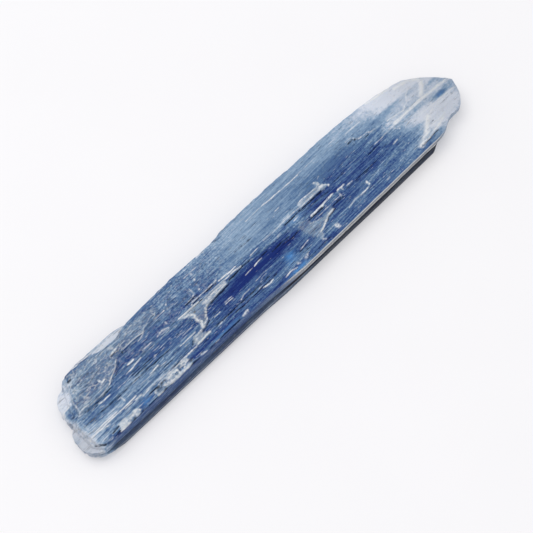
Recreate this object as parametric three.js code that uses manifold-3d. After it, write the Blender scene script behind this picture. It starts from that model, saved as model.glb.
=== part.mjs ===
// A kyanite blade cluster: a flat bundle of parallel bladed crystals, grown together along their
// whole length into one piece.  It lies on its broad cleavage face.
//
// Frame, in millimetres: +X along the blades, from the blunt broken end to the thin pale tip,
// +Y across them to the ragged long edge, -Y to the steep straight edge, +Z up.  The origin is
// the middle of the box that holds the piece, at the height of the face it lies on.
//
// Every blade is a flat slab, because kyanite parts along one perfect cleavage plane, which is
// level here.  Each slab is an outline in plan, raised from one cleavage level to another.  The
// slabs run into each other by GROWN_IN, so that joining them leaves one solid.

import * as THREE from "three";
import { mergeVertices } from "three/addons/utils/BufferGeometryUtils.js";
import Module from "manifold-3d";

// Driving dimensions
const LENGTH = 90;
const WIDTH = 14.8;
const THICKNESS = 4.3;
const GROWN_IN = 0.15; // how far one blade reaches into the next
const KYANITE_BLUE = 0x4a6a98;

// Cleavage levels, from the face that the piece lies on to its highest terrace
const FOOT = 0;
const FOOT_TOP = 0.35 * THICKNESS;
const HEART_TOP = 0.7 * THICKNESS;
const TIP_TOP = 0.85 * THICKNESS;
const CROWN_TOP = 0.93 * THICKNESS;
const BLOCK_TOP = THICKNESS;

// Where the pieces of the outline fall along X and Y
const BROKEN_END = -LENGTH / 2;
const TIP_END = LENGTH / 2;
const RAGGED_EDGE = 6.8; // the far long edge of the crown
const STEEP_EDGE = -7.5; // the near long edge of the crown
const OVERHANG_START = 33; // past here the tip stands clear of the surface

const wasm = await Module();
wasm.setup();

/** A closed three.js geometry as a manifold-3d solid. */
function solidOf(geometry) {
  const bare = geometry.index ? geometry.toNonIndexed() : geometry.clone();
  bare.deleteAttribute("normal");
  bare.deleteAttribute("uv");
  const merged = mergeVertices(bare, 1e-4);
  return new wasm.Manifold(
    new wasm.Mesh({
      numProp: 3,
      vertProperties: new Float32Array(merged.attributes.position.array),
      triVerts: new Uint32Array(merged.index.array),
    }),
  );
}

/** A manifold-3d solid as a three.js geometry with flat-shaded faces. */
function geometryOf(solid) {
  const mesh = solid.getMesh();
  const geometry = new THREE.BufferGeometry();
  geometry.setAttribute("position", new THREE.BufferAttribute(mesh.vertProperties, 3));
  geometry.setIndex(new THREE.BufferAttribute(mesh.triVerts, 1));
  const faceted = geometry.toNonIndexed();
  faceted.computeVertexNormals();
  return faceted;
}

/** A slab with this outline in plan, between two cleavage levels. */
function slab(outline, bottom, top) {
  const shape = new THREE.Shape(outline.map(([x, y]) => new THREE.Vector2(x, y)));
  const geometry = new THREE.ExtrudeGeometry(shape, { depth: top - bottom, bevelEnabled: false });
  geometry.translate(0, 0, bottom);
  return solidOf(geometry);
}

/**
 * The outline of a long thin blade.  Both ends break on the oblique parting, so they rake by
 * `rake`, and each long side has `nicks` shallow steps where a sliver has come away.
 */
function bladeOutline({ from, to, near, far, rake = 0.6, nicks = 3, nick = 0.22 }) {
  const side = (start, end, y, inward) => {
    const points = [];
    for (let i = 0; i < nicks; i++) {
      const x0 = start + ((end - start) * i) / nicks;
      const x1 = start + ((end - start) * (i + 0.62)) / nicks;
      const step = i % 2 === 0 ? 0 : inward * nick;
      points.push([x0, y + step], [x1, y + step]);
    }
    return points;
  };
  return [
    ...side(from + rake, to - rake, near, 1),
    [to, near + (far - near) * 0.35],
    ...side(to - 2 * rake, from + 2 * rake, far, -1),
    [from, far - (far - near) * 0.4],
  ];
}

/** The lowest blades: they carry the piece, and stop short of the tip. */
function foot() {
  const outline = [
    [BROKEN_END + 1.3, -5.1],
    [BROKEN_END + 3.2, -6.4],
    [-30, -6.75],
    [-4, -6.95],
    [8, -7.15],
    [OVERHANG_START - 0.4, -7.2],
    [OVERHANG_START + 0.8, -6.3],
    [OVERHANG_START - 1.6, -3.2],
    [OVERHANG_START + 2.6, -1.1],
    [OVERHANG_START + 1.4, 1.6],
    [OVERHANG_START - 3.5, 4.6],
    [12, 5.9],
    [-8, 5.6],
    [-24, 6.3],
    [-37, 6.6],
    [BROKEN_END + 3.4, 5.2],
    [BROKEN_END + 2.2, 3.2],
    [BROKEN_END + 2.9, 1.4],
    [BROKEN_END + 1.0, 0.1],
    [BROKEN_END + 0.7, -3.4],
  ];
  return slab(outline, FOOT, FOOT_TOP);
}

/** The blades in the middle: they stick out past the crown at the broken end and at the far edge. */
function heart() {
  const outline = [
    [BROKEN_END + 0.5, -4.7],
    [BROKEN_END + 1.8, -5.9],
    [BROKEN_END + 3.0, -6.7],
    [-30, -7.05],
    [-6, -7.1],
    [6, -7.3],
    [OVERHANG_START + 0.6, -7.35],
    [OVERHANG_START + 2.2, -6.6],
    [OVERHANG_START + 4.0, -4.6],
    [OVERHANG_START + 6.8, -3.8],
    [OVERHANG_START + 7.6, -0.6],
    [OVERHANG_START + 5.4, 2.1],
    [OVERHANG_START + 2.4, 4.3],
    [28, 5.8],
    [10, 6.5],
    [-14, 6.6],
    [-25.4, 6.8],
    [-27.6, 7.3],
    [-36.5, 7.3],
    [-39.6, 6.9],
    [BROKEN_END + 2.7, 6.2],
    [BROKEN_END + 1.7, 4.9],
    [BROKEN_END + 1.2, 3.2],
    [BROKEN_END + 1.7, 1.7],
    [BROKEN_END + 0.9, 0.7],
    [BROKEN_END + 0.2, -0.9],
    [BROKEN_END, -3.5],
  ];
  return slab(outline, FOOT_TOP - GROWN_IN, HEART_TOP);
}

/** The broad top blade, with its blunt step at the broken end and its wavy far edge. */
function crown() {
  const outline = [
    [BROKEN_END + 1.3, -4.9],
    [BROKEN_END + 2.6, -6.1],
    [-30, -6.45],
    [-10, -6.6],
    [-4, -7.1],
    [5, STEEP_EDGE],
    [OVERHANG_START + 1.6, STEEP_EDGE],
    [OVERHANG_START + 2.6, -7.35],
    [OVERHANG_START + 3.4, 5.2],
    [OVERHANG_START + 0.8, 5.6],
    [28, 6.3],
    [22, 6.65],
    [14, RAGGED_EDGE - 0.1],
    [9, RAGGED_EDGE],
    [1, RAGGED_EDGE + 0.05],
    [-2, 6.6],
    [-6, 6.55],
    [-11, RAGGED_EDGE],
    [-16, RAGGED_EDGE - 0.05],
    [-22, 6.55],
    [-26, 6.6],
    [-29, 6.1],
    [-33, 6.2],
    [-35, 6.9],
    [-38.6, 7.0],
    [BROKEN_END + 5.0, 5.2],
    [BROKEN_END + 4.2, 3.0],
    [BROKEN_END + 3.5, 0.9],
    [BROKEN_END + 1.7, 0.2],
    [BROKEN_END + 1.5, -2.6],
  ];
  return slab(outline, HEART_TOP - GROWN_IN, CROWN_TOP);
}

/** The thin pale blade that makes the tip. */
function tip() {
  const outline = [
    [24, STEEP_EDGE + 0.1],
    [OVERHANG_START + 2.4, -7.35],
    [OVERHANG_START + 5.0, -6.5],
    [OVERHANG_START + 6.1, -6.0],
    [OVERHANG_START + 8.5, -6.0],
    [TIP_END - 2.7, -5.6],
    [TIP_END - 1.4, -4.4],
    [TIP_END - 0.6, -2.9],
    [TIP_END, -1.4],
    [TIP_END - 0.5, -0.4],
    [TIP_END - 1.8, 1.1],
    [TIP_END - 3.8, 2.9],
    [TIP_END - 6.1, 4.3],
    [TIP_END - 8.3, 5.2],
    [OVERHANG_START + 0.8, 5.8],
    [24, 6.4],
  ];
  return slab(outline, HEART_TOP - 0.9, TIP_TOP);
}

/** The highest terrace: a block of short blades at the broken end, on the far side. */
function highBlock() {
  const outline = [
    [BROKEN_END + 3.7, 0.9],
    [-36.5, 0.95],
    [-31.5, 1.1],
    [-29.6, 2.3],
    [-26.4, 3.4],
    [-23.0, 3.9],
    [-20.5, 5.2],
    [-23.5, 6.3],
    [-29.2, 5.8],
    [-34, 6.1],
    [-38.4, 6.7],
    [BROKEN_END + 5.2, 4.9],
    [BROKEN_END + 4.5, 3.2],
  ];
  return slab(outline, CROWN_TOP - GROWN_IN, BLOCK_TOP);
}

/** Long slivers that stand on the crown, left where thinner blades have split away. */
function slivers() {
  const low = CROWN_TOP + 0.03 * THICKNESS;
  const high = CROWN_TOP + 0.05 * THICKNESS;
  const blades = [
    { from: -24, to: 2, near: 1.3, far: 5.6, top: low },
    { from: -2, to: 26, near: 1.5, far: 5.9, top: low, nicks: 5 },
    { from: -19.5, to: -8, near: -1.1, far: 1.0, top: high, nicks: 4, nick: 0.3 },
    { from: 8.5, to: 16.5, near: 0.4, far: 1.5, top: high },
    { from: 6, to: 19, near: -3.4, far: -0.9, top: high, nicks: 5, nick: 0.35 },
    { from: -41, to: -27, near: -5.9, far: -3.7, top: low },
    { from: -26, to: -18, near: -6.0, far: -3.6, top: high, nicks: 4 },
    { from: -14, to: 30, near: -6.4, far: -4.3, top: low, nicks: 7 },
  ];
  return blades.map((blade) => slab(bladeOutline(blade), CROWN_TOP - GROWN_IN, blade.top));
}

/** Blades missing from the underside, so that the piece rests on the levels left between them. */
function undersideGaps() {
  const depth = 0.1 * THICKNESS;
  const missing = [
    { from: -39, to: -12, near: 2.2, far: 4.1 },
    { from: -20, to: 14, near: -4.9, far: -3.0, nicks: 5 },
    { from: 4, to: 40, near: 1.2, far: 2.7 },
    { from: 17, to: 40, near: -2.2, far: -0.9 },
  ];
  return missing.map((blade) => slab(bladeOutline(blade), FOOT - depth, FOOT + depth));
}

/** What the bevel takes off the steep edge: deepest at the broken end, and it runs out to nothing. */
function steepBevel() {
  const start = BROKEN_END - 1;
  const length = 43;
  const runOut = 0.017; // radians, in plan
  const section = [
    [-6.1, BLOCK_TOP + 1],
    [-9.5, BLOCK_TOP + 1],
    [-9.5, FOOT_TOP + 0.1],
    [-6.9, FOOT_TOP + 0.1],
    [-6.4, CROWN_TOP],
  ];
  const shape = new THREE.Shape(section.map(([y, z]) => new THREE.Vector2(y, z)));
  const geometry = new THREE.ExtrudeGeometry(shape, { depth: length, bevelEnabled: false });
  // The section is drawn in Y and Z and swept along X.
  const axes = new THREE.Matrix4().makeBasis(
    new THREE.Vector3(0, 1, 0),
    new THREE.Vector3(0, 0, 1),
    new THREE.Vector3(1, 0, 0),
  );
  geometry.applyMatrix4(axes);
  geometry.rotateZ(-runOut);
  geometry.translate(start, 0, 0);
  return solidOf(geometry);
}

/** The slope that thins the underside of the tip towards its end. */
function tipRise() {
  const reach = TIP_END - OVERHANG_START;
  const profile = new THREE.Shape([
    new THREE.Vector2(OVERHANG_START + 1, HEART_TOP - 2.2),
    new THREE.Vector2(TIP_END + 1, HEART_TOP - 2.2),
    new THREE.Vector2(TIP_END + 1, TIP_TOP - 0.75),
    new THREE.Vector2(OVERHANG_START + 0.55 * reach, HEART_TOP - 0.7),
  ]);
  const geometry = new THREE.ExtrudeGeometry(profile, { depth: 2 * WIDTH, bevelEnabled: false });
  geometry.rotateX(Math.PI / 2);
  geometry.translate(0, WIDTH, 0);
  return solidOf(geometry);
}

/** All the blades as one solid. */
function cluster() {
  let solid = foot();
  for (const blade of [heart(), crown(), tip(), highBlock(), ...slivers()]) {
    solid = solid.add(blade);
  }
  for (const gap of [...undersideGaps(), steepBevel(), tipRise()]) {
    solid = solid.subtract(gap);
  }
  return solid;
}

const geometry = geometryOf(cluster());
geometry.computeBoundingBox();
const middle = geometry.boundingBox.getCenter(new THREE.Vector3());
geometry.translate(-middle.x, -middle.y, -geometry.boundingBox.min.z);

const kyanite = new THREE.MeshStandardMaterial({
  color: KYANITE_BLUE,
  roughness: 0.35,
  metalness: 0,
});
const blade = new THREE.Mesh(geometry, kyanite);
blade.name = "kyanite_blade_cluster";

const piece = new THREE.Group();
piece.add(blade);

export default piece;
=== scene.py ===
"""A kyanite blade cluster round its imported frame: one closed surface of grown blades, and a studio."""

import math

import bpy
import numpy as np
from bpy.props import FloatProperty, FloatVectorProperty, IntProperty, PointerProperty
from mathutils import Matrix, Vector


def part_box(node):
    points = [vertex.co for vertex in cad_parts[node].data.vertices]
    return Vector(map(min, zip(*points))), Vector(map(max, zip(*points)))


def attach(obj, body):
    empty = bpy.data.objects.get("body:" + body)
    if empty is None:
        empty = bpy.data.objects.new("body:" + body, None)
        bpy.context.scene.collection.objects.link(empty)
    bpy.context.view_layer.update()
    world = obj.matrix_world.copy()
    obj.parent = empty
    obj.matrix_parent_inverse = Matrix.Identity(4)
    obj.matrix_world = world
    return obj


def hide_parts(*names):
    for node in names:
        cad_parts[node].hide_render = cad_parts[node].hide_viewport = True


bl_info = {
    "name": "Kyanite blade cluster",
    "version": (1, 0, 0),
    "blender": (4, 5, 0),
    "location": "View3D > Sidebar > Kyanite",
    "description": "Builds a cluster of grown-together kyanite blades and a plain studio",
    "category": "Add Mesh",
}

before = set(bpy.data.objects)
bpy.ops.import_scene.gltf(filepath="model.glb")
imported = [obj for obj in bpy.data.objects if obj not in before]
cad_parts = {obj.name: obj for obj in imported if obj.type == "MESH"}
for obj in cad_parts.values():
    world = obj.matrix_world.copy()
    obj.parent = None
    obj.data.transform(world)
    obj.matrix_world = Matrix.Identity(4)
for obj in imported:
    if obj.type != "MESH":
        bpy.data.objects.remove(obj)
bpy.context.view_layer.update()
LOW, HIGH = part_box("kyanite_blade_cluster")

MM = 0.001  # one millimetre in metres

# Everything drawn below is in millimetres, seen from above: along the blades from the broken end to the
# tip, and across them from the steep side to the ragged side. Heights are above the face that the cluster
# rests on.
HALF_LENGTH = 45
NEAREST = -7.5
FARTHEST = 7.3
FOOT_TOP = 1.5
HEART_TOP = 3.0
HIGHEST = 4.32

# The first seed of the random draws behind each kind of relief or colour. The plates take 0, 10, 20 and so
# on in turn, and the high block is the third of them.
SEEDS = {
    "high_block": 20,
    "facets": 300,
    "steps": 320,
    "roughness": 340,
    "fragments": 350,
    "crumbled": 360,
    "pale_plates": 370,
    "chips": 380,
    "low_facets": 400,
    "low_steps": 420,
    "foot_end": 440,
    "heart_end": 442,
    "splinters": 500,
    "wobble": 510,
    "near_ledges": 520,
    "far_ledges": 530,
    "side_bands": 540,
    "zones": 600,
    "crumbs": 620,
    "laths": 700,
    "white_lines": 800,
    "dark_lines": 810,
}

# The two long edges of the upper face, the widest line of the steep side, and the two edges of the lower
# face, as (along, across).
STEEP_TOP = (
    (-45, -6.4), (-42.4, -6.2), (-38, -6.2), (-22, -6.25), (-13, -6.45), (-6, -6.8), (-2.5, -7.2),
    (1, -7.5), (34.6, -7.5), (35.8, -7.35), (37.2, -6.8), (38.4, -6.15), (39.1, -5.95), (41.5, -5.95),
    (42.3, -5.6), (43.6, -4.4), (44.4, -2.9), (45, -1.45),
)  # fmt: skip
RAGGED_TOP = (
    (-45, 6.8), (-39.8, 6.65), (-38, 7.0), (-36, 7.25), (-35, 7.3), (-30, 7.15), (-28, 7.05), (-26.8, 6.85),
    (-25.4, 6.6), (-21, 6.6), (-18, 6.75), (-14, 6.85), (-11, 6.75), (-9, 6.6), (-5.4, 6.6), (-3.4, 6.95),
    (4, 7.1), (9, 7.1), (12, 6.9), (15, 6.75), (18, 6.85), (21, 6.75), (24, 6.65), (27, 6.45), (30, 6.2),
    (33.8, 5.8), (36.7, 5.2), (38.9, 4.6), (40.2, 3.8), (41.2, 3.0), (43.2, 1.2), (44.5, -0.4), (45, -1.35),
)  # fmt: skip
STEEP_MIDDLE = (
    (-45, -6.6), (-42, -6.75), (-30, -6.95), (-6, -7.15), (4, -7.3), (22, -7.4), (33.6, -7.3), (36, -6.9),
    (45, -6.6),
)  # fmt: skip
STEEP_LOW = (
    (-45, -6.1), (-42, -6.1), (-39, -6.6), (-8, -7.0), (-3, -7.3), (14, -7.42), (22, -7.5), (33.4, -7.5),
    (34.8, -7.1), (36, -6.8), (38.4, -6.0), (41.2, -5.7), (42.3, -5.4), (43.6, -4.2), (44.4, -2.8),
    (45, -1.45),
)  # fmt: skip
RAGGED_LOW = (
    (-45, 5.9), (-40, 6.3), (-28, 6.5), (-8, 6.3), (10, 6.2), (24, 5.9), (31, 5.4), (36.7, 4.8),
    (38.9, 4.0), (41.2, 2.6), (43.2, 0.9), (44.5, -0.5), (45, -1.35),
)  # fmt: skip
# The broken end, as (across, along), and where it begins and how far it goes across.
BROKEN_END = (
    (-6.7, -42.7), (-6.2, -43.7), (-5.9, -43.9), (-5.3, -44.5), (-4.6, -44.9), (-3.5, -45), (-1.6, -44.8),
    (-0.7, -44.3), (0.0, -43.3), (0.6, -43.2), (1.4, -43.5), (2.4, -43.4), (3.4, -43.0), (4.0, -42.9),
    (5.0, -42.3), (5.7, -41.5), (6.2, -40.2), (6.9, -39.2),
)  # fmt: skip
END_START = -6.7
END_WIDTH = 13.6

# Outlines of the broken plates of crystal.
CROWN = (
    (-43.2, -4.7), (-42.1, -5.9), (-41.5, -8), (50, -8), (50, 8), (-25, 8), (-25.6, 6.4), (-28.6, 5.8),
    (-33, 6.3), (-35, 6.9), (-38.6, 7.0), (-39.5, 5.4), (-40.4, 3.7), (-41.1, 2.4), (-41.5, 0.6),
    (-43.0, 0.1), (-43.2, -2.6),
)  # fmt: skip
CROWN_SHELF = (
    (-43.8, -4.4), (-42.6, -6.1), (-41.5, -8), (50, -8), (50, 8), (-38.8, 8), (-40.2, 5.6), (-41.4, 3.4),
    (-42.1, 1.2), (-43.5, 0.3), (-43.7, -2.6),
)  # fmt: skip
HIGH_BLOCK = (
    (-41.4, 0.7), (-38.5, 0.6), (-36, 0.5), (-34.8, 0.8), (-33.7, 1.45), (-32.2, 2.0), (-31.1, 2.9),
    (-29.4, 3.3), (-26.4, 3.4), (-24.8, 3.2), (-22.4, 3.5), (-21, 3.6), (-20.2, 4.8), (-22.8, 5.8),
    (-25.5, 5.7), (-27, 5.95), (-29, 5.6), (-33, 6.2), (-38.4, 6.8), (-39.3, 5.3), (-40.3, 3.6),
    (-40.9, 2.4),
)  # fmt: skip
TROUGH = (
    (-46, -3.5), (-33, -3.55), (-26, -3.85), (-21.2, -4.1), (-20.5, -3.2), (-18.6, -2.8), (-18.1, -1.8),
    (-18.5, -0.5), (-19.4, 0.5), (-23, 0.7), (-29, 0.8), (-33.2, 1.2), (-35, 0.6), (-41, 0.5), (-46, 0.4),
)  # fmt: skip
DEEP_CHANNEL = (
    (-16.1, -2.4), (-15.2, -1.15), (-12, -0.8), (-9.6, -0.65), (-8.6, -0.15), (-3, -0.15), (2, -0.9),
    (6, -1.2), (8, -1.0), (8, -2.1), (5, -2.6), (0, -3.2), (-6, -3.3), (-13, -3.0),
)  # fmt: skip
RIGHT_CHANNEL = (
    (8.2, 0.0), (13, 0.0), (14.8, -0.4), (15.9, -0.3), (15.3, 1.6), (17.4, 3.2), (23.9, 3.05), (24.8, 2.3),
    (27, 1.7), (28.4, 1.2), (26, -0.3), (31, -0.7), (34, -1.6), (33, -3.5), (28, -4.6), (20, -3.9),
    (16, -4.0), (12.4, -3.9), (12.3, -3.4), (15, -3.2), (15.8, -2.1), (14, -1.7), (8.2, -1.7),
)  # fmt: skip
FORKED_FLAKE = (
    (-19.6, 0.85), (-15, 0.75), (-14.9, 0.42), (-9.7, 0.38), (-9.6, -0.5), (-12, -0.62), (-14, -0.8),
    (-15.2, -1.0), (-16.3, -2.1), (-16.3, -2.6), (-17.8, -3.2), (-18.6, -3.3), (-18, -2.8), (-17.7, -2.0),
    (-17.9, -1.2), (-18.2, -0.5), (-18.9, 0.2),
)  # fmt: skip
NOTCHED_FLAKE = ((-20.2, -2.9), (-18.8, -3.2), (-18.2, -3.8), (-17.6, -4.5), (-20.5, -4.6), (-20.7, -3.8))
HOOKED_FLAKE = (
    (8.5, 0.3), (8.5, 0.9), (9.1, 1.15), (13.2, 1.05), (13.4, 1.9), (13.8, 1.8), (14.0, 1.0), (14.8, -0.1),
    (13.6, -0.3), (13.2, 0.15),
)  # fmt: skip
GREY_PLATE = (
    (5.3, -2.1), (6.4, -1.5), (7.6, -1.8), (7.7, -2.6), (8.6, -3.3), (10.0, -3.6), (12.2, -3.2),
    (12.2, -3.8), (10.4, -4.0), (9.8, -4.4), (7.6, -5.2), (7.5, -5.9), (7.0, -6.1), (6.0, -4.6),
    (5.6, -3.5),
)  # fmt: skip
THIN_SLIVER = (
    (14, -5.5), (16, -5.1), (18.3, -5.2), (19.5, -5.0), (19.6, -4.3), (19.9, -4.3), (19.9, -5.3),
    (18, -5.6),
)  # fmt: skip
FAR_SLIVER = (
    (-32.6, 6.5), (-31.0, 5.9), (-28.9, 5.85), (-27.5, 6.1), (-26.0, 6.5), (-25.2, 6.9), (-25.4, 8),
    (-33, 8),
)  # fmt: skip
PALE_CORNER = (
    (-43.9, 1.6), (-43.6, 3.4), (-43.2, 4.6), (-42.4, 6.0), (-40.6, 7.2), (-38.6, 7.2), (-39.2, 5.6),
    (-40.3, 3.9), (-41.0, 2.8), (-42.4, 2.9), (-43.0, 2.4),
)  # fmt: skip
PALE_STUB = (
    (-45.5, -5.2), (-45.5, 0.3), (-43.3, 0.2), (-43.5, -2.6), (-43.5, -4.6), (-43.0, -5.4), (-43.8, -5.9),
)  # fmt: skip
CRUMBLED_WEST = ((-38.7, -4.8), (-34.9, -5.0), (-34.2, -5.7), (-34.6, -6.1), (-39.1, -6.1))
CRUMBLED_EAST = (
    (-31.2, -5.0), (-29.6, -4.6), (-23.6, -4.6), (-22.8, -5.6), (-24.3, -6.3), (-28, -6.1), (-31, -6.0),
)  # fmt: skip

# Each plate: how far it stands above its surroundings, how far its ends fray, and its outline.
PLATES = (
    (0.50, 0.15, CROWN_SHELF),
    (0.50, 0.20, CROWN),
    (0.26, 0.45, HIGH_BLOCK),
    (-0.20, 0.5, TROUGH),
    (-0.16, 0.8, DEEP_CHANNEL),
    (-0.14, 0.6, RIGHT_CHANNEL),
    (0.12, 0.35, FORKED_FLAKE),
    (0.12, 0.3, NOTCHED_FLAKE),
    (0.12, 0.3, HOOKED_FLAKE),
    (0.11, 0.5, GREY_PLATE),
    (0.08, 0.5, THIN_SLIVER),
)
# Plates that have gone pale: how much bluer (or, below 0, paler), whiter and browner they are, and the
# outline.
PALE_PLATES = (
    (-0.12, 0.14, 0.20, FORKED_FLAKE),
    (-0.20, 0.28, 0.25, NOTCHED_FLAKE),
    (-0.22, 0.20, 0.15, HOOKED_FLAKE),
    (-0.16, 0.13, 0.20, GREY_PLATE),
    (-0.14, 0.10, 0.0, THIN_SLIVER),
    (-0.36, 0.24, 0.10, FAR_SLIVER),
    (-0.26, 0.18, 0.0, PALE_CORNER),
    (-0.18, 0.10, 0.0, PALE_STUB),
)
CRUMBLED = (CRUMBLED_WEST, CRUMBLED_EAST)

# Long gaps between the blades of the lower face, as spindles of this depth: place, half length, half width
# and depth.
GAP_DEPTH = 0.42
LOWER_GAPS = (
    (-25.5, 3.1, 14, 0.8, GAP_DEPTH),
    (-3, -3.9, 17, 0.8, GAP_DEPTH),
    (22, 1.9, 18, 0.6, GAP_DEPTH),
    (28, -1.5, 11, 0.6, GAP_DEPTH),
)
# The lower face takes the colour that lies this far below the upper.
LOWER_FACE_DROP = 4.0

# Colour streaks along the grain: place, half length, half width, and how much bluer (or, below 0, paler)
# they are.
# Some pale streaks over the far half are painted sheen; the rest are the crystal's own zoning.
STREAKS = (
    (-7, -1.9, 9, 1.0, 0.50), (1.0, -2.1, 5, 0.8, 0.30), (22, -1.6, 8, 1.4, 0.20), (18, -0.2, 5, 0.9, 0.10),
    (13.8, -3.6, 2.2, 0.5, 0.30), (11.5, -0.8, 3.6, 0.7, 0.14), (-34, -0.6, 9, 0.7, 0.02),
    (-25, -1.2, 7, 1.0, 0.12), (-16.5, -5.6, 4.5, 0.5, 0.26), (-13, -4.4, 9, 0.7, 0.14),
    (-29.3, 3.4, 2.2, 1.0, 0.14), (-23, 2.2, 7, 0.9, 0.05), (-18, 3.8, 5, 1.4, -0.05),
    (20, 1.8, 6, 1.2, 0.16), (26, -2.8, 5, 1.2, 0.04), (4, -6.9, 9, 0.4, 0.12), (-24.5, -5.6, 9, 0.5, 0.10),
    (-39, -6.2, 6, 0.5, 0.18), (-4, 4.8, 9, 2.4, -0.16), (2, 1.9, 9, 1.2, -0.06), (24, 5.3, 8, 1.3, -0.08),
    (33, 4.0, 6, 2.8, -0.30), (20, 4.6, 6, 1.0, -0.06), (-4, 6.4, 17, 0.9, -0.15), (-43, 0, 1.8, 8, -0.22),
    (-39.5, 3.8, 1.6, 2.4, -0.12), (-29, 6.4, 4.5, 0.6, -0.36), (-41.5, -4.0, 4, 1.0, -0.12),
    (-36, -2.6, 7, 0.8, -0.14), (-22, -3.4, 4, 0.6, -0.06), (34, 0.6, 6, 0.7, -0.10),
    (39, -4.2, 5.5, 1.9, -0.38), (38, 3.8, 4, 1.6, -0.26), (41, -1, 6, 5, -0.30), (37, -2.6, 3, 1.0, -0.16),
    (4.0, 0.8, 6, 0.5, -0.14), (-19.7, 4.3, 0.9, 0.8, -0.26), (-33.5, -4.1, 6, 0.3, -0.14),
    (41.4, -1.8, 1.6, 0.42, 0.52), (42.1, 0.9, 1.4, 0.4, 0.16), (38.4, 2.1, 2.2, 1.0, 0.18),
    (33, 2.3, 4.5, 0.6, 0.20), (-42.5, 1.7, 0.7, 0.8, 0.42), (33.5, -6.5, 2.6, 0.25, 0.20),
    (5, 1.6, 8, 0.8, 0.18), (-13.5, -3.5, 3.5, 0.6, 0.20), (-33, -1.45, 6, 0.5, -0.20),
    (-5, -0.5, 3, 0.4, 0.20), (6.5, -0.9, 2.4, 0.9, -0.26), (31, -0.6, 3.2, 1.5, -0.34),
    (31, -5.5, 5, 1.4, -0.20), (37, -6.2, 3.4, 1.6, -0.26), (21, -4.6, 5, 0.6, -0.10),
    (34, -2.3, 3, 1.4, -0.22), (12.5, -3.6, 2.2, 0.5, 0.08), (-6, -4.5, 3, 0.5, -0.08),
    (-41.3, 4.7, 1.5, 1.6, -0.35), (7, -1.6, 3, 0.5, -0.16), (39.5, -1.6, 2.6, 0.5, 0.12),
    (-14, -6.5, 6, 0.35, 0.10), (-23, 4.2, 3.0, 0.8, 0.11), (-36, 6.7, 3, 0.4, -0.2),
    (-36, 3.0, 2.4, 1.0, 0.07), (-12, 1.3, 3, 0.7, 0.10), (18, 5.6, 3, 0.8, 0.08), (24, 2.6, 3, 1.6, -0.07),
    (-7, -6.8, 5, 0.35, 0.22), (14, -7.1, 8, 0.3, 0.12), (-30, -0.9, 4, 0.8, -0.08),
    (-42, -0.5, 1, 0.6, 0.10), (20, -3.6, 6, 0.8, -0.08), (21, 0.6, 4, 0.7, -0.07),
    (-18, -4.0, 3, 0.8, 0.07), (-42.6, 2.6, 1.4, 1.6, -0.15), (-42.5, -5.8, 1.6, 1.2, -0.18),
    (-6, 1.4, 3, 0.7, 0.08), (12, 1.4, 2, 0.6, 0.07), (-28, 5.4, 12, 0.9, -0.12),
    (-18, -3.6, 1.4, 0.5, 0.14),
)  # fmt: skip
# Spots lit from within, and the white chip on the corner of the broken end: the same, with how strong.
SKY_SPOTS = (
    (0.9, -4.4, 1.0, 0.45, 0.65), (0.4, -5.3, 1.2, 0.4, 0.35), (0.4, -6.95, 2.2, 0.3, 0.65),
    (41.4, -1.85, 1.1, 0.28, 0.3), (-32.8, -5.3, 1.0, 0.5, 0.32), (-15.5, -5.9, 3.0, 0.2, 0.35),
    (6.3, -0.6, 1.4, 0.3, 0.3), (-24.9, -5.7, 0.6, 0.3, 0.4),
)  # fmt: skip
CORNER_CHIP = ((-43.4, -6.2, 0.55, 0.45, 1.0),)
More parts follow.
